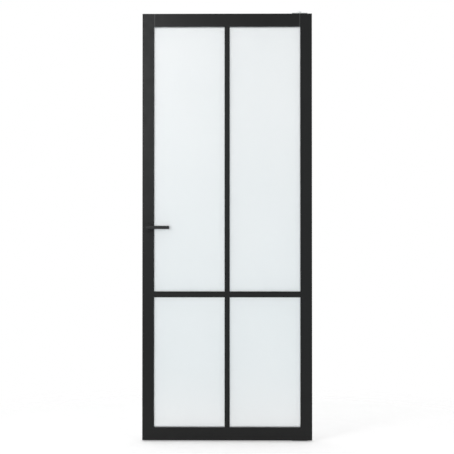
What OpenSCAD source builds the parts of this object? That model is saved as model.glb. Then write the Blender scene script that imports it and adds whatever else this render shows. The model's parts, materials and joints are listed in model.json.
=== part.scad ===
// Slim-framed glazed door leaf with four panes, a magnetic latch and a pair of levers.
// It hangs on two concealed pivots: a pin on a floor plate and a pin under a lintel plate.
// Origin: underside of the floor plate, on the pivot axis. The front looks towards -Y,
// the lock edge is at -X, and +Z is up.

/* [Leaf] */
// Width of the leaf
leaf_w = 834; // [610:1:1100]
// Height of the leaf
leaf_h = 2097; // [1700:1:2600]
// Thickness of the leaf
leaf_t = 40; // [38:1:60]
// Visible width of each stile
stile_w = 57; // [57:1:90]
// Visible height of the top and bottom rails
rail_h = 63; // [60:1:120]
// Visible height of the horizontal glazing bar
cross_bar_h = 28.5; // [26:0.5:50]
// Visible width of the vertical glazing bars
upright_bar_w = 25; // [22:1:45]
// Width of the bevel on each end of the top rail, beside the stile
corner_bevel_w = 5; // [2:0.5:8]
// Depth of that bevel
corner_bevel_d = 1; // [0.5:0.1:2]
// Width of the shadow gap between that bevel and the stile
corner_gap_w = 1.2; // [0.4:0.1:1.8]
// Depth of the shadow gap
corner_gap_d = 2.5; // [2:0.1:4]
// Diameter of the dowels in the four corner joints
corner_dowel_d = 10; // [8:1:12]
// Length of the corner dowels
corner_dowel_l = 80; // [50:1:90]
// Diameter of the dowels at the ends of the glazing bars
bar_dowel_d = 8; // [5:1:9]
// Length of the glazing bar dowels
bar_dowel_l = 24; // [16:1:24]

/* [Glazing] */
// Thickness of the glass
glass_t = 6; // [4:0.1:8]
// Thickness of the glazing tape on each side of the glass
tape_t = 2; // [1:0.1:3]
// Width of the glazing tape
tape_w = 6; // [4:0.1:6]
// Depth of the rebate beyond the visible edge of the opening
rebate_d = 8; // [7:0.1:9]
// Gap between the glass edge and the rebate, filled under the glass by setting blocks
glass_gap = 2; // [1:0.1:3]
// Length of each setting block
block_l = 60; // [30:1:100]
// Chamfer along the visible back edge of the glazing beads
bead_chamfer = 2; // [1:0.1:4]
// Shank diameter of the bead screws
bead_screw_d = 3; // [2:0.1:4]
// Length of the bead screws
bead_screw_l = 12; // [10:0.1:12]
// Widest spacing of the bead screws
bead_screw_pitch = 320; // [150:1:400]
// Distance from the end of a bead to its first screw
bead_screw_end = 60; // [30:1:100]

/* [Pivots] */
// Distance from the hinge edge of the leaf to the pivot axis
pivot_inset = 60; // [45:1:150]
// Gap between the floor and the underside of the leaf
floor_gap = 6; // [5:0.1:15]
// Gap between the top of the leaf and the lintel plate
head_gap = 3; // [2:0.1:8]
// Diameter of the floor pivot pin
floor_pin_d = 12; // [8:0.1:13]
// Diameter of the top pivot pin
top_pin_d = 10; // [6:0.1:11]
// Radial running clearance between a pivot pin and its bush
pin_clear = 0.05; // [0.02:0.01:0.1]
// Vertical clearance between the pin's collar and the flange that rides on it
thrust_clear = 0.1; // [0.05:0.01:0.3]
// Length of the floor and lintel plates and of the pivot housings
plate_l = 76; // [70:1:110]
// Width of the floor and lintel plates
plate_w = 24; // [22:1:36]
// Thickness of the floor and lintel plates
plate_t = 3; // [2.5:0.1:3.8]
// Spacing of the two screw holes in a plate
plate_pitch = 56; // [50:1:62]
// Diameter of the screw holes in a plate
plate_hole_d = 5; // [4:0.1:6]
// Width of the pivot housings let into the leaf
housing_w = 22; // [22:1:30]
// Depth of the pivot housings
housing_h = 14; // [12:1:18]
// Spacing of the two screws in a housing
housing_pitch = 46; // [40:1:48]
// Length of the screws that hold the housings
housing_screw_l = 40; // [25:1:45]

/* [Lock] */
// Height of the lever's axis above the floor
lever_z = 1050; // [850:1:1200]
// Distance from the lock edge to the lever's axis
backset = 28.5; // [28.5:0.1:30]
// Height of the lock case
case_h = 140; // [120:1:180]
// Thickness of the lock case
case_t = 14; // [14:0.5:18]
// Depth of the lock case behind the forend
case_d = 40; // [40:0.5:42]
// Thickness of the lock case's sheet
sheet_t = 1.5; // [1:0.1:2]
// Height of the forend
forend_h = 172; // [165:1:230]
// Width of the forend
forend_w = 20; // [18:1:24]
// Thickness of the forend
forend_t = 3; // [2:0.1:3]
// Height of the latch bolt's head
latch_h = 24; // [18:1:26]
// Travel of the latch bolt out of the forend
latch_travel = 11; // [8:0.1:11]
// Gap all round the latch bolt in the forend
latch_clear = 0.1; // [0.05:0.01:0.3]
// Gap between the lock case and its mortise
mortise_clear = 0.3; // [0.1:0.1:1]
// Width across the square spindle
spindle_w = 8; // [7:0.1:9]
// Gap on each side of the square spindle
spindle_clear = 0.05; // [0.02:0.01:0.1]

/* [Levers] */
// Height of the lever bar
lever_h = 16; // [14:0.5:20]
// Thickness of the lever bar
lever_t = 10; // [7:0.5:14]
// Rounding along the edges of the lever bar
lever_round = 4; // [1:0.5:5]
// Length of the lever from its axis to its tip
lever_l = 106; // [80:1:140]
// Distance from the leaf's face to the outside of the lever bar
lever_out = 54; // [44:1:65]
// Diameter of the lever's neck
neck_d = 15; // [14:0.1:15.4]
// Diameter of the rosette
rosette_d = 38; // [38:0.5:52]
// Height of the rosette
rosette_h = 7; // [6.5:0.1:10]
// Wall of the rosette's cover
rosette_wall = 1.2; // [0.8:0.1:1.5]
// Radial running clearance between the lever's neck and the rosette's base
neck_clear = 0.05; // [0.02:0.01:0.1]

/* [Hidden] */
$fn = 64;
cut = 1; // how far a cutting shape runs past the face that it cuts
join = 1; // how far two shapes of one piece run into each other
screw_clear = 0.05; // gap round a screw or a dowel
head_ratio = 1.8; // head of a countersunk screw, in shank diameters
key_ratio = 0.75; // width across the corners of its hexagon socket
key_depth_ratio = 0.35;

// The leaf's edges and faces
x_lock = pivot_inset - leaf_w;
x_hinge = pivot_inset;
y_front = -leaf_t / 2;
y_back = leaf_t / 2;
z_bottom = floor_gap;
z_top = floor_gap + leaf_h;

// The glazed opening inside the stiles and rails
open_x0 = x_lock + stile_w;
open_x1 = x_hinge - stile_w;
open_z0 = z_bottom + rail_h;
open_z1 = z_top - rail_h;
mid_x = (open_x0 + open_x1) / 2;

// Three equal rows: the cross bar stands on the first, and the upper panes span two
row_h = (open_z1 - open_z0 - 2 * cross_bar_h) / 3;
cross_z0 = open_z0 + row_h;
cross_z1 = cross_z0 + cross_bar_h;
pane_w = (open_x1 - open_x0 - upright_bar_w) / 2;
left_x = open_x0 + pane_w / 2;
right_x = open_x1 - pane_w / 2;
upper_h = open_z1 - cross_z1;
upper_z = (open_z1 + cross_z1) / 2;
lower_z = (open_z0 + cross_z0) / 2;

// Each pane: name, centre x, centre z, visible width, visible height
PANES = [
    ["upper_left", left_x, upper_z, pane_w, upper_h],
    ["upper_right", right_x, upper_z, pane_w, upper_h],
    ["lower_left", left_x, lower_z, pane_w, row_h],
    ["lower_right", right_x, lower_z, pane_w, row_h],
];
UPPER_LEFT = PANES[0];
UPPER_RIGHT = PANES[1];
LOWER_LEFT = PANES[2];
LOWER_RIGHT = PANES[3];

// The sides of a pane, as quarter turns that bring its foot round to that side
FOOT = 0;
LEFT = 1;
HEAD = 2;
RIGHT = 3;

// The layers through the glazing, from the front lip to the beads
rebate_y = -glass_t / 2 - tape_t;
bead_y = glass_t / 2 + tape_t;
bead_t = y_back - bead_y;
lip_t = rebate_y - y_front;
bead_screw_y = bead_y + bead_t / 2;
bead_screw_head = bead_screw_d * head_ratio;
bead_screw_shift = bead_screw_d * 3; // staggers the screws on both sides of a bar
block_w = glass_t + 2;

// Corner dowels stand clear of the rebate on one side and of the pivot housing on the other
corner_dowel_y = y_front / 2;
corner_dowel_inner = rail_h - rebate_d - corner_dowel_d / 2 - 2;
corner_dowel_outer = corner_dowel_inner - 2 * corner_dowel_d;
bar_dowel_y = y_front + lip_t / 2;

// Pivots
collar_d = floor_pin_d + 8;
flange_t = 1;
collar_t = floor_gap - plate_t - flange_t - thrust_clear;
bush_wall = 2;
bush_l = housing_h - 2;
pin_chamfer = 1;
pin_end_gap = 0.5; // from a pin's end to the floor of its socket
spigot_d = floor_pin_d - 2; // foot of the floor pin, pressed into its plate
lintel_z = z_top + head_gap;
socket_d = top_pin_d + 8;
socket_h = 6;
socket_floor = 1.5;
plate_chamfer = 2;
plate_screw_head = plate_hole_d * head_ratio;
housing_screw_d = 5;
housing_screw_head = housing_screw_d * head_ratio;

// Lock: places count from the lever's axis, with the lock edge at -backset
lever_x = x_lock + backset;
case_x0 = forend_t - backset;
case_x1 = case_x0 + case_d;
case_rise = 5; // height of the case's middle over the lever's axis
case_z0 = case_rise - case_h / 2;
case_z1 = case_rise + case_h / 2;
forend_z0 = case_rise - forend_h / 2;
forend_z1 = case_rise + forend_h / 2;
inner_y = case_t / 2 - sheet_t;
wall_x1 = case_x1 - sheet_t;
hub_r = 9;
hub_clear = 0.2; // gap between the hub and the case on each side
journal_r = 7;
journal_clear = 0.05;
arm_clear = 0.4; // gap between the follower's arm and the case
swing = 40; // degrees that a lever turns
drive_wire = 1;
drive_turns = 2.25;
arm_lean = swing / 2;
arm_r = latch_travel / (2 * sin(swing / 2));
leg_r = arm_r + 2; // reach of the drive spring's leg, past the arm's tip
arm_tip_r = 2.6;
arm_w = 4.4;
layer_gap = 0.5; // half of the space between the arm's layer and the latch tail's layer
drive_y0 = layer_gap + 0.7;
drive_start = -arm_lean - 360 * drive_turns;
drive_hole_r = hub_r - 1.5; // where the hole for the spring's foot starts
latch_l = 18; // length of the latch bolt's head
latch_t = 2 * inner_y - 1;
latch_z0 = arm_r - 1;
latch_back = latch_l - backset;
tail_z0 = arm_r + 4.5;
tail_h = 5.5;
lug_t = 3.5;
lug_z0 = arm_r - 1.5;
lug_x = leg_r * sin(arm_lean) + drive_wire / 2 + 0.3;
magnet_d = 7;
magnet_l = 8;
magnet_clear = 0.05;
magnet_inset = 0.2; // from the bolt's end to the magnet
magnet_z = latch_z0 + latch_h / 2;
guide_z = latch_z0 + latch_h - 5;
guide_d = 3;
guide_clear = 0.2;
stop_x = latch_back + 1.5;
stop_t = 1.5;
stop_half = 4; // half height of the plate behind the latch spring
spring_gap = 0.05; // between a spring and what it bears on
latch_spring_d = 6;
latch_wire = 0.6;
drive_r = hub_r + 0.3 + drive_wire / 2;
drive_pitch = 1.15;
post_d = 6;
case_screw_d = 3;
case_screw_l = case_t - 3;
case_screw_head = case_screw_d * head_ratio;
case_post_x = [case_x0 + 7, wall_x1 - 5];
case_post_z = [case_z0 + 8, case_z1 - 8];
forend_screw_d = 4;
forend_screw_l = 28;
forend_screw_head = forend_screw_d * head_ratio;
forend_screw_z = [case_z0 - 9, case_z1 + 9];
spindle_hole_d = 15;

// Levers: depths count outwards from the leaf's face
neck_start = 1;
lever_tip_r = 3;
LEVER_OUTLINE = concat(
    arc(0, 0, lever_h / 2, 90, 270, 24),
    arc(lever_l - lever_tip_r, lever_tip_r - lever_h / 2, lever_tip_r, -90, 0, 6),
    arc(lever_l - lever_tip_r, lever_h / 2 - lever_tip_r, lever_tip_r, 0, 90, 6)
);
bar_in = lever_out - lever_t;
bar_round = min(lever_round, lever_t / 2 - 0.5);
// Section of the lever bar, its first coordinate running inwards from the outer face
LEVER_SECTION = concat(
    arc(lever_t - bar_round, lever_h / 2 - bar_round, bar_round, 0, 90, 8),
    arc(bar_round, lever_h / 2 - bar_round, bar_round, 90, 180, 8),
    arc(bar_round, bar_round - lever_h / 2, bar_round, 180, 270, 8),
    arc(lever_t - bar_round, bar_round - lever_h / 2, bar_round, 270, 360, 8)
);
socket_depth = bar_in - 9;
spindle_in = bar_in - 12;
cover_clear = 0.2; // radial gap between a rosette's cover and its base
cover_bore_clear = 0.3; // radial gap between a rosette's cover and the neck
cover_chamfer = 0.8;
base_d = rosette_d - 2 * rosette_wall - 2 * cover_clear;
base_h = rosette_h - rosette_wall - 0.5;
recess_r = neck_d / 2 + 3.5;
recess_h = base_h - 2;
spring_wire = 1.1;
spring_r = neck_d / 2 + 2.2;
spring_float = 0.1; // room over and under the return spring
rosette_screw_d = 2.6;
rosette_screw_head = 4.4;
rosette_screw_l = 14;
rosette_screw_r = recess_r + 0.4 + rosette_screw_head / 2;
grub_d = 5;
grub_clear = 0.05;
grub_inset = 0.8; // from the neck's surface to the grub screw's end
grub_out = rosette_h + 8;

// ---- Colours ----
BLACK = "#2c2c2c";
FROSTED = "#e3eaec";
STEEL = "#b8babd";
BRONZE = "#b08d57";
TIMBER = "#c8a878";
RUBBER = "#1c1c1c";

// ---- Shared shapes ----

// A block between two opposite corners
module block(low, high) {
    translate(low) cube(high - low);
}

// A round bar along X, and one along Y
module rod_x(d, x0, x1) {
    translate([x0, 0, 0]) rotate([0, 90, 0]) cylinder(d = d, h = x1 - x0);
}

module rod_y(d, y0, y1) {
    translate([0, y1, 0]) rotate([90, 0, 0]) cylinder(d = d, h = y1 - y0);
}

// A countersunk screw that points down, with its head flush at z = 0
module screw_profile(d, l, head, grow, above) {
    cone = (head - d) / 2;
    r = d / 2 + grow;
    rotate_extrude()
        polygon([[0, above], [head / 2 + grow, above], [head / 2 + grow, 0],
                 [r, -cone], [r, -l + d], [0, -l - grow]]);
}

module screw(d, l, head) {
    difference() {
        screw_profile(d, l, head, 0, 0);
        translate([0, 0, -d * key_depth_ratio]) cylinder(d = d * key_ratio, h = d, $fn = 6);
    }
}

module screw_hole(d, l, head) {
    screw_profile(d, l, head, screw_clear, cut);
}

// A point on a circle about the Y axis, at an angle that turns from +Z towards +X
function polar(r, a, y) = [r * sin(a), y, r * cos(a)];

// Wire of round section along a list of points that winds about the Y axis
function unit(v) = v / norm(v);
function ahead(p, i) = unit(p[min(i + 1, len(p) - 1)] - p[max(i - 1, 0)]);
function ring(p, i, r, sides) =
    let (t = ahead(p, i), n = unit(cross(t, [0, 1, 0])), b = cross(n, t))
    [for (k = [0:sides - 1]) p[i] + r * (cos(360 * k / sides) * n + sin(360 * k / sides) * b)];

module wire(points, d, sides = 8) {
    last = len(points) - 1;
    skin = [for (i = [0:last]) each ring(points, i, d / 2, sides)];
    walls = [for (i = [0:last - 1]) for (k = [0:sides - 1])
        [i * sides + k, i * sides + (k + 1) % sides,
         (i + 1) * sides + (k + 1) % sides, (i + 1) * sides + k]];
    start = [[for (k = [sides - 1:-1:0]) k]];
    end = [[for (k = [0:sides - 1]) last * sides + k]];
    polyhedron(skin, concat(walls, start, end));
}

// Points along an arc
function arc(x, y, r, a0, a1, n) = [for (i = [0:n]) let (a = a0 + (a1 - a0) * i / n)
    [x + r * cos(a), y + r * sin(a)]];

// ---- Places ----

// The foot of a pane turned to one of its sides, so that the frame lies towards local -Z
module at_side(pane, side) {
    translate([pane[1], 0, pane[2]]) rotate([0, 90 * side, 0]) children();
}

function side_span(pane, side) = side % 2 == 0 ? pane[3] : pane[4];
function side_half(pane, side) = (side % 2 == 0 ? pane[4] : pane[3]) / 2;

// The lever's axis on the leaf's mid plane
module at_lever() {
    translate([lever_x, 0, lever_z]) children();
}

// A face of the leaf, with local -Y pointing out of it
module at_front() {
    at_lever() translate([0, y_front, 0]) children();
}

module at_back() {
    at_lever() translate([0, y_back, 0]) mirror([0, 1, 0]) children();
}

// ---- Cuts that several pieces share ----

module pane_cuts(panes) {
    for (p = panes)
        translate([p[1], 0, p[2]]) {
            block([-p[3] / 2, y_front - cut, -p[4] / 2], [p[3] / 2, y_back + cut, p[4] / 2]);
            block([-p[3] / 2 - rebate_d, rebate_y, -p[4] / 2 - rebate_d],
                  [p[3] / 2 + rebate_d, y_back + cut, p[4] / 2 + rebate_d]);
        }
}

function screw_gaps(span) = max(1, ceil((span - 2 * bead_screw_end) / bead_screw_pitch));

// Places of the bead screws along one side
module at_bead_screws(pane, side) {
    span = side_span(pane, side);
    gaps = screw_gaps(span);
    run = span - 2 * bead_screw_end;
    at_side(pane, side)
        for (i = [0:gaps]) {
            x = -run / 2 + run * i / gaps + bead_screw_shift;
            translate([x, bead_screw_y, -side_half(pane, side)]) children();
        }
}

module bead_holes(panes, side) {
    for (p = panes)
        at_bead_screws(p, side) screw_hole(bead_screw_d, bead_screw_l, bead_screw_head);
}

module corner_dowel_set(grow) {
    for (x = [open_x0, open_x1])
        for (z = [z_bottom + corner_dowel_outer, z_bottom + corner_dowel_inner,
                  z_top - corner_dowel_inner, z_top - corner_dowel_outer])
            translate([x, corner_dowel_y, z])
                rod_x(corner_dowel_d + 2 * grow, -corner_dowel_l / 2 - grow, corner_dowel_l / 2 + grow);
}

module bar_dowel_set(grow) {
    d = bar_dowel_d + 2 * grow;
    half = bar_dowel_l / 2 + grow;
    for (x = [open_x0, open_x1])
        translate([x, bar_dowel_y, (cross_z0 + cross_z1) / 2]) rod_x(d, -half, half);
    for (z = [open_z0, cross_z0, cross_z1, open_z1])
        translate([mid_x, bar_dowel_y, z - half]) cylinder(d = d, h = 2 * half);
}

module dowel_holes() {
    corner_dowel_set(screw_clear);
    bar_dowel_set(screw_clear);
}

// Bevel and shadow gap of the top corner joints, cut into the rail's ends on both faces
module corner_grooves() {
    gap_floor = corner_bevel_d * (1 - corner_gap_w / corner_bevel_w);
    run_out = corner_bevel_w * (1 + cut / corner_bevel_d);
    for (right = [0, 1])
        for (back = [0, 1])
            translate([right ? open_x1 : open_x0, back ? y_back : y_front, open_z1 - cut])
                mirror([right, 0, 0]) mirror([0, back, 0]) linear_extrude(rail_h + 2 * cut)
                    polygon([[-cut, -cut], [run_out, -cut], [corner_gap_w, gap_floor],
                             [corner_gap_w, corner_gap_d], [-cut, corner_gap_d]]);
}

// Housing screws, given as places with local +Z pointing out of the leaf's edge
module at_housing_screws() {
    for (x = [-housing_pitch / 2, housing_pitch / 2]) {
        translate([x, 0, z_bottom]) rotate([180, 0, 0]) children();
        translate([x, 0, z_top]) children();
    }
}

module housing_cuts() {
    block([-plate_l / 2, -housing_w / 2, z_bottom - cut],
          [plate_l / 2, housing_w / 2, z_bottom + housing_h]);
    block([-plate_l / 2, -housing_w / 2, z_top - housing_h],
          [plate_l / 2, housing_w / 2, z_top + cut]);
    at_housing_screws() screw_hole(housing_screw_d, housing_screw_l, housing_screw_head);
}

module at_forend_screws() {
    for (z = forend_screw_z)
        translate([-backset, 0, z]) rotate([0, -90, 0]) children();
}

module at_rosette_screws() {
    for (z = [-rosette_screw_r, rosette_screw_r])
        translate([0, -base_h, z]) rotate([90, 0, 0]) children();
}

module rosette_screw_holes() {
    at_front() at_rosette_screws() screw_hole(rosette_screw_d, rosette_screw_l, rosette_screw_head);
    at_back() at_rosette_screws() screw_hole(rosette_screw_d, rosette_screw_l, rosette_screw_head);
}

// Mortise for the lock: forend recess, case pocket, spindle hole and screw holes
module lock_cuts() {
    grow = mortise_clear;
    at_lever() {
        block([-backset - cut, -forend_w / 2, forend_z0], [case_x0, forend_w / 2, forend_z1]);
        block([case_x0 - cut, -case_t / 2 - grow, case_z0 - grow],
              [case_x1 + grow, case_t / 2 + grow, case_z1 + grow]);
        rod_y(spindle_hole_d, y_front - cut, y_back + cut);
        at_forend_screws() screw_hole(forend_screw_d, forend_screw_l, forend_screw_head);
    }
    rosette_screw_holes();
}

// ---- Leaf frame ----

module lock_stile() {
    color(BLACK) difference() {
        block([x_lock, y_front, z_bottom], [open_x0, y_back, z_top]);
        pane_cuts([UPPER_LEFT, LOWER_LEFT]);
        bead_holes([UPPER_LEFT, LOWER_LEFT], LEFT);
        dowel_holes();
        lock_cuts();
    }
}

module pivot_stile() {
    color(BLACK) difference() {
        block([open_x1, y_front, z_bottom], [x_hinge, y_back, z_top]);
        pane_cuts([UPPER_RIGHT, LOWER_RIGHT]);
        bead_holes([UPPER_RIGHT, LOWER_RIGHT], RIGHT);
        dowel_holes();
        housing_cuts();
    }
}

module top_rail() {
    color(BLACK) difference() {
        block([open_x0, y_front, open_z1], [open_x1, y_back, z_top]);
        pane_cuts([UPPER_LEFT, UPPER_RIGHT]);
        bead_holes([UPPER_LEFT, UPPER_RIGHT], HEAD);
        dowel_holes();
        corner_grooves();
        housing_cuts();
    }
}

module bottom_rail() {
    color(BLACK) difference() {
        block([open_x0, y_front, z_bottom], [open_x1, y_back, open_z0]);
        pane_cuts([LOWER_LEFT, LOWER_RIGHT]);
        bead_holes([LOWER_LEFT, LOWER_RIGHT], FOOT);
        dowel_holes();
        housing_cuts();
    }
}

module cross_bar() {
    color(BLACK) difference() {
        block([open_x0, y_front, cross_z0], [open_x1, y_back, cross_z1]);
        pane_cuts(PANES);
        bead_holes([UPPER_LEFT, UPPER_RIGHT], FOOT);
        bead_holes([LOWER_LEFT, LOWER_RIGHT], HEAD);
        dowel_holes();
    }
}

// One of the two vertical bars that stand above and below the cross bar
module upright_bar(z0, z1, left_pane, right_pane) {
    color(BLACK) difference() {
        block([mid_x - upright_bar_w / 2, y_front, z0], [mid_x + upright_bar_w / 2, y_back, z1]);
        pane_cuts([left_pane, right_pane]);
        bead_holes([left_pane], RIGHT);
        bead_holes([right_pane], LEFT);
        dowel_holes();
    }
}

module corner_dowels() {
    color(TIMBER) corner_dowel_set(0);
}

module bar_dowels() {
    color(TIMBER) bar_dowel_set(0);
}

// ---- Glazing ----

module pane(p) {
    grow = 2 * (rebate_d - glass_gap);
    color(FROSTED)
        translate([p[1], 0, p[2]]) cube([p[3] + grow, glass_t, p[4] + grow], center = true);
}

// A mitred bead with a chamfered sight edge
module bead(p, side) {
    span = side_span(p, side);
    half = side_half(p, side);
    outer = span / 2 + rebate_d;
    chamfer = bead_chamfer * sqrt(2);
    difference() {
        at_side(p, side) difference() {
            translate([0, y_back, 0]) rotate([90, 0, 0]) linear_extrude(bead_t)
                polygon([[-outer, -half - rebate_d], [outer, -half - rebate_d],
                         [span / 2, -half], [-span / 2, -half]]);
            translate([0, y_back, -half]) rotate([45, 0, 0])
                cube([2 * outer, chamfer, chamfer], center = true);
        }
        bead_holes([p], side);
    }
}

module side_beads(p) {
    color(BLACK) {
        bead(p, LEFT);
        bead(p, RIGHT);
    }
}

module end_beads(p) {
    color(BLACK) {
        bead(p, FOOT);
        bead(p, HEAD);
    }
}

// Strips of tape round every pane; those on the sides fit between those at head and foot
module tapes(y0) {
    color(RUBBER)
        for (p = PANES)
            for (side = [FOOT, LEFT, HEAD, RIGHT]) {
                reach = side_span(p, side) / 2 + (side % 2 == 0 ? tape_w : 0);
                half = side_half(p, side);
                at_side(p, side) block([-reach, y0, -half - tape_w], [reach, y0 + tape_t, -half]);
            }
}

module setting_blocks() {
    color(RUBBER)
        for (p = PANES)
            for (x = [-p[3] / 4, p[3] / 4])
                at_side(p, FOOT) translate([x, 0, -p[4] / 2 - rebate_d])
                    block([-block_l / 2, -block_w / 2, 0], [block_l / 2, block_w / 2, glass_gap]);
}

module bead_screws() {
    color(BLACK)
        for (p = PANES)
            for (side = [FOOT, LEFT, HEAD, RIGHT])
                at_bead_screws(p, side) screw(bead_screw_d, bead_screw_l, bead_screw_head);
}

// ---- Pivots ----

// A flat plate with cut corners and two countersunk holes, its screws entering from above
module pivot_plate() {
    x = plate_l / 2;
    y = plate_w / 2;
    c = plate_chamfer;
    difference() {
        linear_extrude(plate_t)
            polygon([[-x + c, -y], [x - c, -y], [x, -y + c], [x, y - c],
                     [x - c, y], [-x + c, y], [-x, y - c], [-x, -y + c]]);
        for (side = [-1, 1])
            translate([side * plate_pitch / 2, 0, 0]) {
                translate([0, 0, -cut]) cylinder(d = plate_hole_d, h = plate_t + 2 * cut);
                translate([0, 0, plate_t - (plate_screw_head - plate_hole_d) / 2])
                    cylinder(d1 = plate_hole_d, d2 = plate_screw_head,
                             h = (plate_screw_head - plate_hole_d) / 2);
            }
    }
}

module floor_plate() {
    color(STEEL) difference() {
        pivot_plate();
        translate([0, 0, -cut]) cylinder(d = spigot_d, h = plate_t + 2 * cut);
    }
}

module floor_pin() {
    pin_top = z_bottom + bush_l - pin_end_gap;
    r = floor_pin_d / 2;
    color(STEEL) rotate_extrude()
        polygon([[0, 0], [spigot_d / 2, 0], [spigot_d / 2, plate_t], [collar_d / 2, plate_t],
                 [collar_d / 2, plate_t + collar_t], [r, plate_t + collar_t],
                 [r, pin_top - pin_chamfer], [r - pin_chamfer, pin_top], [0, pin_top]]);
}

module lintel_plate() {
    bore_d = top_pin_d + 2 * (bush_wall + pin_clear);
    color(STEEL) translate([0, 0, lintel_z]) difference() {
        union() {
            translate([0, 0, plate_t]) mirror([0, 0, 1]) pivot_plate();
            translate([0, 0, plate_t]) cylinder(d = socket_d, h = socket_h);
        }
        translate([0, 0, -cut]) cylinder(d = bore_d, h = plate_t + socket_h - socket_floor + cut);
    }
}

// A plain bush with an optional flange under it
module bush(pin_d, l, flange_d) {
    bore = pin_d / 2 + pin_clear;
    outer = bore + bush_wall;
    rotate_extrude()
        polygon(flange_d > 0
            ? [[bore, -flange_t], [flange_d / 2, -flange_t], [flange_d / 2, 0],
               [outer, 0], [outer, l], [bore, l]]
            : [[bore, 0], [outer, 0], [outer, l], [bore, l]]);
}

module lintel_bush() {
    color(BRONZE) translate([0, 0, lintel_z])
        bush(top_pin_d, plate_t + socket_h - socket_floor, 0);
}

module bottom_bush() {
    color(BRONZE) translate([0, 0, z_bottom]) bush(floor_pin_d, bush_l, collar_d);
}

// The block that both housings start from, its face at z = 0 and its body below
module housing_block() {
    block([-plate_l / 2, -housing_w / 2, -housing_h], [plate_l / 2, housing_w / 2, 0]);
}

module bottom_housing() {
    color(STEEL) difference() {
        translate([0, 0, z_bottom]) mirror([0, 0, 1]) housing_block();
        translate([0, 0, z_bottom - cut])
            cylinder(d = floor_pin_d + 2 * (bush_wall + pin_clear), h = bush_l + cut);
        at_housing_screws() screw_hole(housing_screw_d, housing_screw_l, housing_screw_head);
    }
}

module top_housing() {
    color(STEEL) difference() {
        translate([0, 0, z_top]) housing_block();
        translate([0, 0, z_top - bush_l]) cylinder(d = top_pin_d, h = bush_l + cut);
        at_housing_screws() screw_hole(housing_screw_d, housing_screw_l, housing_screw_head);
    }
}

module top_pin() {
    r = top_pin_d / 2;
    l = bush_l + head_gap + plate_t + socket_h - socket_floor - pin_end_gap;
    color(STEEL) translate([0, 0, z_top - bush_l]) rotate_extrude()
        polygon([[0, 0], [r, 0], [r, l - pin_chamfer], [r - pin_chamfer, l], [0, l]]);
}

module housing_screws() {
    color(STEEL) at_housing_screws()
        screw(housing_screw_d, housing_screw_l, housing_screw_head);
}

// ---- Lock ----

// The latch bolt's head, grown to make the window that it slides through
module latch_head(x0, x1, grow) {
    block([x0, -latch_t / 2 - grow, latch_z0 - grow],
          [x1, latch_t / 2 + grow, latch_z0 + latch_h + grow]);
}

module forend() {
    color(STEEL) at_lever() difference() {
        block([-backset, -forend_w / 2, forend_z0], [case_x0, forend_w / 2, forend_z1]);
        latch_head(-backset - cut, case_x0 + cut, latch_clear);
        at_forend_screws() screw_hole(forend_screw_d, forend_screw_l, forend_screw_head);
    }
}

module forend_screws() {
    color(STEEL) at_lever() at_forend_screws()
        screw(forend_screw_d, forend_screw_l, forend_screw_head);
}

module at_case_screws() {
    for (x = case_post_x)
        for (z = case_post_z)
            translate([x, case_t / 2, z]) rotate([-90, 0, 0]) children();
}

// A tray, open to the back, with screw posts and the guide of the latch spring
module lock_case() {
    color(STEEL) at_lever() difference() {
        union() {
            difference() {
                block([case_x0, -case_t / 2, case_z0], [case_x1, inner_y, case_z1]);
                block([case_x0 + sheet_t, -inner_y, case_z0 + sheet_t],
                      [wall_x1, inner_y + cut, case_z1 - sheet_t]);
            }
            for (x = case_post_x)
                for (z = case_post_z)
                    translate([x, 0, z]) rod_y(post_d, -inner_y - sheet_t / 2, inner_y);
            block([stop_x, -inner_y - sheet_t / 2, guide_z - stop_half],
                  [stop_x + stop_t, guide_d, guide_z + stop_half]);
            translate([0, 0, guide_z]) rod_x(guide_d, stop_x + stop_t / 2, wall_x1 + sheet_t / 2);
        }
        latch_head(case_x0 - cut, case_x0 + sheet_t + cut, latch_clear);
        rod_y(2 * (journal_r + journal_clear), -case_t, case_t);
        at_case_screws() screw_hole(case_screw_d, case_screw_l, case_screw_head);
    }
}

module lock_cover() {
    color(STEEL) at_lever() difference() {
        block([case_x0, inner_y, case_z0], [case_x1, case_t / 2, case_z1]);
        rod_y(2 * (journal_r + journal_clear), 0, case_t);
        at_case_screws() screw_hole(case_screw_d, case_screw_l, case_screw_head);
    }
}

module case_screws() {
    color(STEEL) at_lever() at_case_screws()
        screw(case_screw_d, case_screw_l, case_screw_head);
}

// Head, tail, the lug that the drive spring pulls, and the seat of the latch spring
module latch_bolt() {
    tail_y0 = layer_gap;
    tail_y1 = latch_t / 2;
    lug_x1 = lug_x + lug_t;
    seat_top = guide_z + latch_spring_d / 2 + 1;
    color(STEEL) at_lever() difference() {
        union() {
            latch_head(-backset, latch_back, 0);
            block([latch_back - join, tail_y0, tail_z0], [lug_x1, tail_y1, tail_z0 + tail_h]);
            block([lug_x, tail_y0, lug_z0], [lug_x1, tail_y1, tail_z0 + join]);
            block([lug_x, -latch_spring_d / 2, tail_z0 + tail_h - join], [lug_x1, tail_y1, seat_top]);
        }
        translate([0, 0, magnet_z]) rod_x(magnet_d, -backset - cut, magnet_l - backset);
        translate([0, 0, guide_z]) rod_x(guide_d + 2 * guide_clear, 0, wall_x1);
    }
}

module latch_magnet() {
    color(STEEL) at_lever() translate([0, 0, magnet_z])
        rod_x(magnet_d - 2 * magnet_clear, magnet_inset - backset, magnet_l - backset);
}

// Compression spring on the guide: it holds the bolt back until a magnet draws it out
module latch_spring() {
    x0 = stop_x + stop_t + latch_wire / 2 + spring_gap;
    x1 = lug_x - latch_wire / 2 - spring_gap;
    r = (latch_spring_d - latch_wire) / 2;
    turns = 5;
    steps = 16;
    // wound about Y here, then laid along X
    path = [for (i = [0:turns * steps]) polar(r, 360 * i / steps, (x1 - x0) * i / (turns * steps))];
    color(STEEL) at_lever() translate([x0, 0, guide_z]) rotate([0, 0, -90]) wire(path, latch_wire);
}

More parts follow.
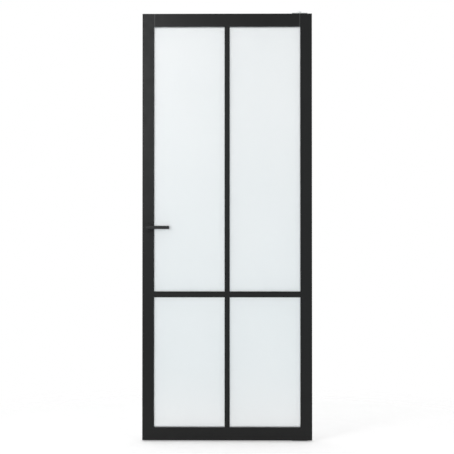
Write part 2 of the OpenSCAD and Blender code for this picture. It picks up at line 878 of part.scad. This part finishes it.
// Hub with its journals, square hole and the arm that carries the drive spring
module follower() {
    color(STEEL) at_lever() difference() {
        union() {
            rod_y(2 * hub_r, hub_clear - inner_y, inner_y - hub_clear);
            rod_y(2 * journal_r, -case_t / 2, case_t / 2);
            rotate([0, -arm_lean, 0]) {
                block([-arm_w / 2, arm_clear - inner_y, 0], [arm_w / 2, -layer_gap, arm_r]);
                translate([0, 0, arm_r]) rod_y(2 * arm_tip_r, arm_clear - inner_y, -layer_gap);
            }
        }
        translate([-spindle_w / 2 - spindle_clear, -case_t, -spindle_w / 2 - spindle_clear])
            cube([spindle_w + 2 * spindle_clear, 2 * case_t, spindle_w + 2 * spindle_clear]);
        translate(polar(drive_hole_r, drive_start, drive_y0)) rotate([0, drive_start, 0])
            cylinder(d = drive_wire + 0.2, h = hub_r - drive_hole_r + cut);
    }
}

// Torsion spring on the hub: its long leg lies along the arm and pulls the latch's lug back
module drive_spring() {
    steps = 20;
    count = drive_turns * steps;
    y1 = drive_y0 + drive_pitch * drive_turns;
    coil = [for (i = [0:count])
        polar(drive_r, drive_start + 360 * i / steps, drive_y0 + drive_pitch * i / steps)];
    foot = [for (r = [drive_hole_r + 0.3, hub_r - 0.2]) polar(r, drive_start, drive_y0)];
    leg = [for (r = [drive_r + 1.2, leg_r]) polar(r, -arm_lean, y1)];
    color(STEEL) at_lever() wire(concat(foot, coil, leg), drive_wire);
}

// ---- Levers ----

module spindle() {
    half = leaf_t / 2 + spindle_in;
    color(STEEL) at_lever()
        block([-spindle_w / 2, -half, -spindle_w / 2], [spindle_w / 2, half, spindle_w / 2]);
}

// The bar keeps to its outline in front view and to its rounded section along its length
module lever_bar() {
    intersection() {
        translate([0, cut - bar_in, 0]) rotate([90, 0, 0]) linear_extrude(lever_t + 2 * cut)
            polygon(LEVER_OUTLINE);
        translate([-lever_h, -lever_out, 0]) rotate([90, 0, 90]) linear_extrude(lever_h + lever_l + cut)
            polygon(LEVER_SECTION);
    }
}

// A lever on the front, its neck towards the leaf; the back one is its mirror image
module lever() {
    socket_w = spindle_w + 2 * spindle_clear;
    difference() {
        union() {
            rod_y(neck_d, -bar_in - lever_t / 2, -neck_start);
            lever_bar();
        }
        block([-socket_w / 2, -socket_depth, -socket_w / 2], [socket_w / 2, 0, socket_w / 2]);
        translate([0, -grub_out, -neck_d]) cylinder(d = grub_d, h = neck_d);
    }
}

module lever_front() {
    color(BLACK) at_front() lever();
}

module lever_back() {
    color(BLACK) at_back() lever();
}

// The grub screw bears on the spindle from below, inside the neck's wall
module grub_screw() {
    l = neck_d / 2 - spindle_w / 2 - grub_inset;
    translate([0, -grub_out, -spindle_w / 2 - l]) difference() {
        cylinder(d = grub_d - 2 * grub_clear, h = l);
        translate([0, 0, -cut]) cylinder(d = grub_d / 2, h = cut + l / 2, $fn = 6);
    }
}

module grub_screws() {
    color(STEEL) {
        at_front() grub_screw();
        at_back() grub_screw();
    }
}

// Round base with the neck's bearing, a recess for the return spring and two screw holes
module rosette_base() {
    difference() {
        rod_y(base_d, -base_h, 0);
        rod_y(neck_d + 2 * neck_clear, -base_h - cut, cut);
        rod_y(2 * recess_r, -base_h - cut, recess_h - base_h);
        at_rosette_screws() screw_hole(rosette_screw_d, rosette_screw_l, rosette_screw_head);
    }
}

module rosette_base_front() {
    color(STEEL) at_front() rosette_base();
}

module rosette_base_back() {
    color(STEEL) at_back() rosette_base();
}

// Cap with a softened rim that snaps over the base and hides its screws
module rosette_cover() {
    r = rosette_d / 2;
    bore = neck_d / 2 + cover_bore_clear;
    inner = r - rosette_wall;
    deck = rosette_h - rosette_wall;
    color(BLACK) rotate([90, 0, 0]) rotate_extrude()
        polygon([[r, 0], [r, rosette_h - cover_chamfer], [r - cover_chamfer, rosette_h],
                 [bore, rosette_h], [bore, deck], [inner, deck], [inner, 0]]);
}

module rosette_cover_front() {
    at_front() rosette_cover();
}

module rosette_cover_back() {
    at_back() rosette_cover();
}

// Torsion springs round both necks that bring the levers back up
module rosette_spring() {
    turns = 2;
    steps = 24;
    y0 = spring_float + spring_wire / 2 - base_h;
    rise = recess_h - 2 * spring_float - spring_wire;
    path = [for (i = [0:turns * steps])
        polar(spring_r, 360 * i / steps, y0 + rise * i / (turns * steps))];
    wire(path, spring_wire);
}

module rosette_springs() {
    color(STEEL) {
        at_front() rosette_spring();
        at_back() rosette_spring();
    }
}

module rosette_screws() {
    color(STEEL) {
        at_front() at_rosette_screws()
            screw(rosette_screw_d, rosette_screw_l, rosette_screw_head);
        at_back() at_rosette_screws()
            screw(rosette_screw_d, rosette_screw_l, rosette_screw_head);
    }
}

// ---- Nodes ----

floor_plate();
floor_pin();
lintel_plate();
lintel_bush();
lock_stile();
pivot_stile();
top_rail();
bottom_rail();
cross_bar();
upright_bar(cross_z1, open_z1, UPPER_LEFT, UPPER_RIGHT);  // upper_bar
upright_bar(open_z0, cross_z0, LOWER_LEFT, LOWER_RIGHT);  // lower_bar
corner_dowels();
bar_dowels();
for (p = PANES) {
    pane(p);
    side_beads(p);
    end_beads(p);
}
tapes(rebate_y);  // front_tapes
tapes(glass_t / 2);  // back_tapes
setting_blocks();
bead_screws();
bottom_housing();
bottom_bush();
top_housing();
top_pin();
housing_screws();
forend();
forend_screws();
lock_case();
lock_cover();
case_screws();
latch_bolt();
latch_magnet();
latch_spring();
follower();
drive_spring();
spindle();
lever_front();
lever_back();
grub_screws();
rosette_base_front();
rosette_base_back();
rosette_cover_front();
rosette_cover_back();
rosette_springs();
rosette_screws();
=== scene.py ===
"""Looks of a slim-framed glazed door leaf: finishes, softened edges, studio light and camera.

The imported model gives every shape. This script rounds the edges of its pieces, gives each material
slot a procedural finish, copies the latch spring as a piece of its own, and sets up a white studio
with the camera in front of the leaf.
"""

import json
import math

import bpy
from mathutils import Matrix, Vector


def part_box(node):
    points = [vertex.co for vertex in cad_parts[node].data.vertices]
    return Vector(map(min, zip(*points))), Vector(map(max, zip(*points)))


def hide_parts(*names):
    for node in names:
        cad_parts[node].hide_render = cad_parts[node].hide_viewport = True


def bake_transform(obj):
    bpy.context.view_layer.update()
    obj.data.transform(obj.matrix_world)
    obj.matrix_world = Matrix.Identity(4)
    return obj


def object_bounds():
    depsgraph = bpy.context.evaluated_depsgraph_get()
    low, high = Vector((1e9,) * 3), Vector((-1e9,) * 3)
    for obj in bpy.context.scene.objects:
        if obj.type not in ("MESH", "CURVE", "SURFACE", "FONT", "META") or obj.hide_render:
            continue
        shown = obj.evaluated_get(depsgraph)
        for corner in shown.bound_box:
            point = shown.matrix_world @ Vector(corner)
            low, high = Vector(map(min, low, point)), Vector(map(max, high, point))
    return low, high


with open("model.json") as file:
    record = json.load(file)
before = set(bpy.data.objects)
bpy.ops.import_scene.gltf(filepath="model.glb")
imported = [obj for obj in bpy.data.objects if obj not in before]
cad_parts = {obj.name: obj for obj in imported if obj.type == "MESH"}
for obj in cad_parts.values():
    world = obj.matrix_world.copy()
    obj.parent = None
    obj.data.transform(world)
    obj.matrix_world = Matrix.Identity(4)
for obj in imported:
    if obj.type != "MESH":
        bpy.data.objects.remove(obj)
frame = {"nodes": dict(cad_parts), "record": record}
CAD_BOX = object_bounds()
RECORD = frame["record"]

# ---- Sizes, in metres ----

LEAF_LOW = Vector(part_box("lock_stile")[0])
LEAF_HIGH = Vector(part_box("pivot_stile")[1])
LEAF_HEIGHT = LEAF_HIGH.z - LEAF_LOW.z
# The middle of the leaf's front face
LEAF_FRONT = Vector(((LEAF_LOW.x + LEAF_HIGH.x) / 2, LEAF_LOW.y, (LEAF_LOW.z + LEAF_HIGH.z) / 2))

BEVEL_WIDTH = 0.005                # of the bevels at the top rail's ends
BEVEL_FADE = 0.0006                # over which their painted highlight sets in

# Edge radius of the nodes whose names start with one of the words; screws keep the edges they have
EDGE_RADII = {
    ("lock_stile", "pivot_stile", "top_rail", "bottom_rail"): 0.0006,
    ("cross_bar", "upper_bar", "lower_bar"): 0.0006,
    ("side_beads", "end_beads"): 0.0004,
    ("lever_front", "lever_back"): 0.0008,
    ("rosette_cover",): 0.0003,
    ("pane_",): 0.0005,
    ("forend", "latch_bolt", "floor_plate", "lintel_plate"): 0.0003,
    ("bottom_housing", "top_housing", "setting_blocks"): 0.0003,
}
EDGE_STEPS = 3                     # facets across a rounded edge
SHARP_ANGLE = math.radians(35)     # least angle between faces that counts as an edge
WELD_REACH = 0.00001               # corners this close are one

# ---- Camera ----

CAMERA_DISTANCE = 6.0
CAMERA_RIGHT = math.radians(0.7)   # how far round to the right of the leaf's axis it stands
CAMERA_BELOW = math.radians(0.67)  # how far below the leaf's middle it stands
CAMERA_AIM = Vector((-0.0007, 0.0, -0.002))  # what it aims at, from the middle of the leaf's front
CAMERA_REACH = 100.0               # farthest distance that it sees
LEAF_SHARE = 0.94                  # of the picture's height, filled by the leaf
SENSOR = 36.0                      # width, in millimetres

# ---- Light ----

# Strength of the surround, low down and high up
SKY_ROUND = (0.03, 1.00)           # to the left and right of the leaf
SKY_FRONT = (1.48, 0.02)           # in front of it, where the light comes from below
SKY_BACK = (0.90, 1.00)            # behind it, where it lights the glass
FRONT_SPAN = (0.25, 0.93)          # cosines to the front over which the front's strength sets in
BACK_SPAN = (0.20, 0.70)           # cosines to the back over which the back's strength sets in
HEIGHT_SPAN = (-0.6, 0.5)          # cosines to the ceiling that count as low down and high up
SKY_TINT = (0.87, 0.97, 1.0)       # cool tint of the surround, low down
TINT_SPAN = (-0.30, 0.15)          # cosines to the ceiling over which it fades out
WHITE = (1.0, 1.0, 1.0)

# Each soft box faces the leaf's middle: its name, its place from there, width, height and watts
LAMPS = (
    ("strip", (-0.85, -1.70, 0.85), 0.50, 1.70, 14.5),
    ("right", (1.60, -2.40, 0.60), 0.60, 2.00, 3.0),
    ("key", (1.45, -3.10, 2.05), 0.40, 0.40, 4.5),
)

FLOOR_SOLID = 0.8                  # distance from the leaf at which the floor begins to fade out
FLOOR_RADIUS = 2.2                 # distance at which it has gone
FLOOR_SIDES = 96
FLOOR_TONE = 0.70
FLOOR_GLOW = 0.36                  # light of the floor's own, which keeps it as white as the backdrop

# ---- Tones and gloss ----

NOISE_SPAN = (0.3, 0.7)            # where a noise's values lie, all but a few
# Painted highlight: a paler colour on the top rail's end bevels, standing in for the light they catch
BEVEL_HIGHLIGHT_TONE = (0.045, 0.045, 0.044)
LEVER_GLOSS = 0.44
ROSETTE_GLOSS = 0.34


# ---- Node helpers ----

def new_material(name):
    """A material with one Principled shader; returns it with its node tree and shader."""
    material = bpy.data.materials.new(name)
    material.use_nodes = True
    tree = material.node_tree
    return material, tree, tree.nodes["Principled BSDF"]


def set_inputs(shader, **values):
    """Sets the shader's own sockets, with _ in place of each space in their names."""
    for name, value in values.items():
        shader.inputs[name.replace("_", " ")].default_value = value


def coordinates(tree, stretch=(1.0, 1.0, 1.0)):
    """Position on the object in metres, stretched along each axis."""
    place = tree.nodes.new("ShaderNodeTexCoord")
    mapping = tree.nodes.new("ShaderNodeMapping")
    mapping.inputs["Scale"].default_value = stretch
    tree.links.new(place.outputs["Object"], mapping.inputs["Vector"])
    return mapping.outputs["Vector"]


def noise(tree, vector, scale, detail=3.0, roughness=0.5):
    node = tree.nodes.new("ShaderNodeTexNoise")
    node.inputs["Scale"].default_value = scale
    node.inputs["Detail"].default_value = detail
    node.inputs["Roughness"].default_value = roughness
    tree.links.new(vector, node.inputs["Vector"])
    return node.outputs["Fac"]


def remap(tree, value, low, high, span=NOISE_SPAN):
    """Carries a value from its own span to low and high, and holds it there beyond."""
    node = tree.nodes.new("ShaderNodeMapRange")
    node.inputs["From Min"].default_value, node.inputs["From Max"].default_value = span
    node.inputs["To Min"].default_value = low
    node.inputs["To Max"].default_value = high
    tree.links.new(value, node.inputs["Value"])
    return node.outputs["Result"]


def crossfade(tree, value, span, low, high):
    """Goes from the value low to the value high while a third runs through a span."""
    result = remap(tree, value, 0.0, 1.0, span)
    tree.links.new(low, result.node.inputs["To Min"])
    tree.links.new(high, result.node.inputs["To Max"])
    return result


def two_tone(tree, value, dark, light):
    """A colour that runs from dark to light as a value runs through the span of a noise."""
    ramp = tree.nodes.new("ShaderNodeValToRGB")
    for element, position, tone in zip(ramp.color_ramp.elements, NOISE_SPAN, (dark, light)):
        element.position = position
        element.color = (*tone, 1.0)
    tree.links.new(value, ramp.inputs["Fac"])
    return ramp.outputs["Color"]


def mixed(tree, share, colour, other):
    """A colour that gives way to another where the share is 1."""
    mix = tree.nodes.new("ShaderNodeMix")
    mix.data_type = "RGBA"
    shown = {socket.name: socket for socket in mix.inputs if socket.enabled}
    shown["B"].default_value = (*other, 1.0)
    tree.links.new(share, shown["Factor"])
    tree.links.new(colour, shown["A"])
    return next(socket for socket in mix.outputs if socket.enabled)


def rail_ends(tree):
    """1 on the bevels at the ends of the top rail, where the painted highlight goes, 0 elsewhere."""
    low, high = (corner.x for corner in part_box("top_rail"))
    place = tree.nodes.new("ShaderNodeTexCoord")
    apart = tree.nodes.new("ShaderNodeSeparateXYZ")
    tree.links.new(place.outputs["Object"], apart.inputs["Vector"])
    off_middle = tree.nodes.new("ShaderNodeMath")
    off_middle.operation = "SUBTRACT"
    off_middle.inputs[1].default_value = (low + high) / 2
    tree.links.new(apart.outputs["X"], off_middle.inputs[0])
    reach = tree.nodes.new("ShaderNodeMath")
    reach.operation = "ABSOLUTE"
    tree.links.new(off_middle.outputs["Value"], reach.inputs[0])
    start = (high - low) / 2 - BEVEL_WIDTH
    return remap(tree, reach.outputs["Value"], 0.0, 1.0, (start, start + BEVEL_FADE))


def bump(tree, shader, height, depth):
    """Raises the surface by up to a depth in metres where the height is 1."""
    node = tree.nodes.new("ShaderNodeBump")
    node.inputs["Distance"].default_value = depth
    tree.links.new(height, node.inputs["Height"])
    tree.links.new(node.outputs["Normal"], shader.inputs["Normal"])


def paint(tree, shader, tone, gloss):
    """Links the shader's colour and roughness."""
    tree.links.new(tone, shader.inputs["Base Color"])
    tree.links.new(gloss, shader.inputs["Roughness"])


# ---- Finishes ----

def black_lacquer(name, bevels=False):
    """Satin lacquer sprayed on timber: a faint orange peel and slow changes of tone and gloss.

    On the bevels at the top rail's ends it is painted paler: a painted highlight that stands in for
    the light the bevels catch.
    """
    material, tree, shader = new_material(name)
    set_inputs(shader, Specular_IOR_Level=0.32)
    place = coordinates(tree)
    cloud = noise(tree, place, 3.5, detail=2.0)
    peel = noise(tree, place, 420.0, detail=2.0)
    sheen = noise(tree, place, 26.0, detail=4.0)
    tone = two_tone(tree, cloud, (0.0024, 0.0026, 0.0026), (0.0036, 0.0037, 0.0036))
    if bevels:
        # painted highlight on the bevels at the top rail's ends
        tone = mixed(tree, rail_ends(tree), tone, BEVEL_HIGHLIGHT_TONE)
    paint(tree, shader, tone, remap(tree, sheen, 0.40, 0.50))
    bump(tree, shader, peel, 0.00004)
    return material


def black_metal(name, gloss):
    """Powder coat on the levers and rosettes: a fine pebble over an even matte black."""
    material, tree, shader = new_material(name)
    set_inputs(shader, Specular_IOR_Level=gloss)
    place = coordinates(tree)
    cloud = noise(tree, place, 40.0)
    sheen = noise(tree, place, 90.0)
    pebble = noise(tree, place, 2200.0, detail=2.0)
    tone = two_tone(tree, cloud, (0.0030, 0.0032, 0.0034), (0.0048, 0.0049, 0.0051))
    paint(tree, shader, tone, remap(tree, sheen, 0.38, 0.48))
    bump(tree, shader, pebble, 0.00003)
    return material


def black_screws():
    """Phosphated steel: dark and slightly mottled."""
    material, tree, shader = new_material("black_screws")
    set_inputs(shader, Metallic=0.8)
    mottle = noise(tree, coordinates(tree), 900.0, detail=4.0)
    tone = two_tone(tree, mottle, (0.02, 0.02, 0.021), (0.05, 0.05, 0.05))
    paint(tree, shader, tone, remap(tree, mottle, 0.42, 0.6))
    bump(tree, shader, mottle, 0.00002)
    return material


def brushed_steel(name, tone, stretch, rough):
    """Steel with fine brush lines along the axis that is stretched least."""
    material, tree, shader = new_material(name)
    set_inputs(shader, Metallic=1.0)
    lines = noise(tree, coordinates(tree, stretch), 60.0, detail=5.0, roughness=0.6)
    dark = tuple(0.82 * c for c in tone)
    paint(tree, shader, two_tone(tree, lines, dark, tone),
          remap(tree, lines, rough - 0.07, rough + 0.07))
    bump(tree, shader, lines, 0.00002)
    return material


def zinc_plate():
    """Zinc on the pivot plates: pale, with the slow mottling of its dull passivated coat."""
    material, tree, shader = new_material("zinc_plate")
    set_inputs(shader, Metallic=0.35)
    place = coordinates(tree)
    mottle = noise(tree, place, 120.0, detail=4.0, roughness=0.6)
    grain = noise(tree, place, 900.0)
    tone = two_tone(tree, mottle, (0.74, 0.75, 0.76), (0.86, 0.87, 0.87))
    paint(tree, shader, tone, remap(tree, mottle, 0.55, 0.40))
    bump(tree, shader, grain, 0.00002)
    return material


def bronze():
    """Sintered bronze: warm, with fine open pores."""
    material, tree, shader = new_material("bronze")
    set_inputs(shader, Metallic=1.0)
    pores = noise(tree, coordinates(tree), 1600.0, detail=4.0, roughness=0.7)
    tone = two_tone(tree, pores, (0.33, 0.20, 0.10), (0.58, 0.40, 0.20))
    paint(tree, shader, tone, remap(tree, pores, 0.5, 0.3))
    bump(tree, shader, pores, 0.00003)
    return material


def satin_glass():
    """Etched glass: a milky, slightly blue sheet that lets blurred light through."""
    material, tree, shader = new_material("satin_glass")
    set_inputs(shader, Transmission_Weight=0.85, IOR=1.45, Specular_IOR_Level=0.35)
    place = coordinates(tree)
    cloud = noise(tree, place, 2.2, detail=2.0)
    etch = noise(tree, place, 1800.0, roughness=0.6)
    tone = two_tone(tree, cloud, (0.925, 0.945, 0.952), (0.945, 0.960, 0.966))
    paint(tree, shader, tone, remap(tree, etch, 0.36, 0.44))
    bump(tree, shader, etch, 0.00002)
    return material


def glazing_tape():
    """Closed-cell foam tape: dull black with tiny cells."""
    material, tree, shader = new_material("glazing_tape")
    set_inputs(shader, Specular_IOR_Level=0.2)
    cells = noise(tree, coordinates(tree), 1500.0, detail=4.0, roughness=0.7)
    tone = two_tone(tree, cells, (0.010, 0.010, 0.010), (0.022, 0.022, 0.022))
    paint(tree, shader, tone, remap(tree, cells, 0.85, 0.98))
    bump(tree, shader, cells, 0.00015)
    return material


def block_plastic():
    """Moulded plastic of the setting blocks."""
    material, tree, shader = new_material("block_plastic")
    grain = noise(tree, coordinates(tree), 700.0)
    tone = two_tone(tree, grain, (0.035, 0.036, 0.04), (0.055, 0.056, 0.06))
    paint(tree, shader, tone, remap(tree, grain, 0.5, 0.65))
    bump(tree, shader, grain, 0.00005)
    return material


def beech():
    """Bare beech with flecks that run along the dowel."""
    material, tree, shader = new_material("beech")
    flecks = noise(tree, coordinates(tree, (0.08, 1.0, 1.0)), 500.0, detail=4.0, roughness=0.6)
    tone = two_tone(tree, flecks, (0.44, 0.27, 0.14), (0.66, 0.46, 0.28))
    paint(tree, shader, tone, remap(tree, flecks, 0.6, 0.8))
    bump(tree, shader, flecks, 0.0001)
    return material


def finish_nodes():
    """Gives every node its slot's finish, or its own where the slot's wouldn't do."""
    by_slot = {
        "black_lacquer": black_lacquer("black_lacquer"),
        "satin_glass": satin_glass(),
        "black_metal": black_metal("black_metal", LEVER_GLOSS),
        "black_screws": black_screws(),
        "satin_steel": brushed_steel("satin_steel", (0.60, 0.61, 0.62), (40.0, 40.0, 1.0), 0.34),
        "spring_steel": brushed_steel("spring_steel", (0.46, 0.46, 0.48), (1.0, 30.0, 1.0), 0.28),
        "bronze": bronze(),
        "beech": beech(),
        "glazing_tape": glazing_tape(),
        "block_plastic": block_plastic(),
    }
    zinc = zinc_plate()
    matte = black_metal("black_metal_matte", ROSETTE_GLOSS)
    by_node = {
        # the top rail's lacquer, with a painted highlight on its end bevels
        "top_rail": black_lacquer("black_lacquer_bevel_highlight", bevels=True),
        "floor_plate": zinc,
        "lintel_plate": zinc,
        "rosette_cover_front": matte,
        "rosette_cover_back": matte,
    }
    for part in RECORD["subparts"]:
        node = part["node"]
        materials = frame["nodes"][node].data.materials
        materials.clear()
        materials.append(by_node.get(node, by_slot[part["material_slot"]]))


# ---- Softened edges ----

def edge_radius(node):
    """The radius for a node's edges, or None where they stay as they are."""
    if "screws" in node:
        return None
    return next((radius for starts, radius in EDGE_RADII.items() if node.startswith(starts)), None)


def soften(piece, radius):
    """Joins the mesh's split corners and rounds its edges."""
    weld = piece.modifiers.new("weld", "WELD")
    weld.merge_threshold = WELD_REACH
    round_edges = piece.modifiers.new("round", "BEVEL")
    round_edges.width = radius
    round_edges.segments = EDGE_STEPS
    round_edges.limit_method = "ANGLE"
    round_edges.angle_limit = SHARP_ANGLE
    round_edges.use_clamp_overlap = True
    round_edges.harden_normals = True


def soften_nodes():
    for node, piece in frame["nodes"].items():
        radius = edge_radius(node)
        if radius:
            soften(piece, radius)


# ---- Latch spring ----

def make_latch_coil():
    """The latch spring copied as a piece of its own, with the imported one hidden."""
    coil = bpy.data.objects.new("latch_coil", frame["nodes"]["latch_spring"].data.copy())
    bpy.context.scene.collection.objects.link(coil)
    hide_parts("latch_spring")
    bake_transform(coil)


# ---- Studio ----

def make_camera():
    """Stands the camera a little below and to the right of the leaf's axis."""
    right = math.sin(CAMERA_RIGHT)
    down = math.sin(CAMERA_BELOW)
    away = Vector((right, -math.sqrt(1 - right * right - down * down), -down))
    data = bpy.data.cameras.new("camera")
    data.sensor_width = SENSOR
    data.lens = SENSOR * CAMERA_DISTANCE * LEAF_SHARE / LEAF_HEIGHT
    data.clip_end = CAMERA_REACH
    camera = bpy.data.objects.new("camera", data)
    camera.location = LEAF_FRONT + CAMERA_AIM + CAMERA_DISTANCE * away
    camera.rotation_euler = (-away).to_track_quat("-Z", "Y").to_euler()
    bpy.context.scene.collection.objects.link(camera)
    bpy.context.scene.camera = camera


def make_lamps():
    for name, place, width, height, watts in LAMPS:
        data = bpy.data.lights.new(name, "AREA")
        data.shape = "RECTANGLE"
        data.size = width
        data.size_y = height
        data.energy = watts
        light = bpy.data.objects.new(name, data)
        light.location = LEAF_FRONT + Vector(place)
        light.rotation_euler = (-Vector(place)).to_track_quat("-Z", "Y").to_euler()
        bpy.context.scene.collection.objects.link(light)


def background(tree):
    """A white background of strength 1."""
    node = tree.nodes.new("ShaderNodeBackground")
    node.inputs["Color"].default_value = (*WHITE, 1.0)
    return node


def towards(tree, direction, axis):
    """Cosine between a direction of the surround and an axis."""
    along = tree.nodes.new("ShaderNodeVectorMath")
    along.operation = "DOT_PRODUCT"
    along.inputs[1].default_value = axis
    tree.links.new(direction, along.inputs[0])
    return along.outputs["Value"]


def make_sky():
    """A surround that the camera sees as plain white.

    It lights the leaf with other strengths in front, behind and beside it, and low down and high up.
    """
    world = bpy.data.worlds.new("studio")
    world.use_nodes = True
    tree = world.node_tree
    tree.nodes.clear()
    place = tree.nodes.new("ShaderNodeTexCoord").outputs["Generated"]
    height = towards(tree, place, (0.0, 0.0, 1.0))
    beside, ahead, behind = (remap(tree, height, *strengths, HEIGHT_SPAN)
                             for strengths in (SKY_ROUND, SKY_FRONT, SKY_BACK))
    front = towards(tree, place, (0.0, -1.0, 0.0))
    back = towards(tree, place, (0.0, 1.0, 0.0))
    strength = crossfade(tree, front, FRONT_SPAN, beside, ahead)
    strength = crossfade(tree, back, BACK_SPAN, strength, behind)
    tint = two_tone(tree, remap(tree, height, *NOISE_SPAN, TINT_SPAN), SKY_TINT, WHITE)
    lit = background(tree)
    tree.links.new(tint, lit.inputs["Color"])
    tree.links.new(strength, lit.inputs["Strength"])
    seen = background(tree)
    mix = tree.nodes.new("ShaderNodeMixShader")
    tree.links.new(tree.nodes.new("ShaderNodeLightPath").outputs["Is Camera Ray"], mix.inputs["Fac"])
    tree.links.new(lit.outputs["Background"], mix.inputs[1])
    tree.links.new(seen.outputs["Background"], mix.inputs[2])
    output = tree.nodes.new("ShaderNodeOutputWorld")
    tree.links.new(mix.outputs["Shader"], output.inputs["Surface"])
    bpy.context.scene.world = world


def make_floor():
    """A pale disc that gives way to the backdrop towards its rim, so that no edge shows."""
    material, tree, shader = new_material("floor")
    set_inputs(shader, Base_Color=(FLOOR_TONE, FLOOR_TONE, FLOOR_TONE, 1.0), Roughness=0.9,
               Specular_IOR_Level=0.1, Emission_Strength=FLOOR_GLOW)
    reach = tree.nodes.new("ShaderNodeVectorMath")
    reach.operation = "LENGTH"
    tree.links.new(coordinates(tree), reach.inputs[0])
    left = remap(tree, reach.outputs["Value"], 1.0, 0.0, (FLOOR_SOLID, FLOOR_RADIUS))
    tree.links.new(left, shader.inputs["Alpha"])
    bpy.ops.mesh.primitive_circle_add(vertices=FLOOR_SIDES, radius=FLOOR_RADIUS, fill_type="NGON",
                                      location=(LEAF_FRONT.x, 0.0, CAD_BOX[0][2]))
    floor = bpy.context.object
    floor.name = "floor"
    floor.data.materials.append(material)


bpy.context.scene.view_settings.view_transform = "Standard"
finish_nodes()
soften_nodes()
make_latch_coil()
make_sky()
make_floor()
make_lamps()
make_camera()
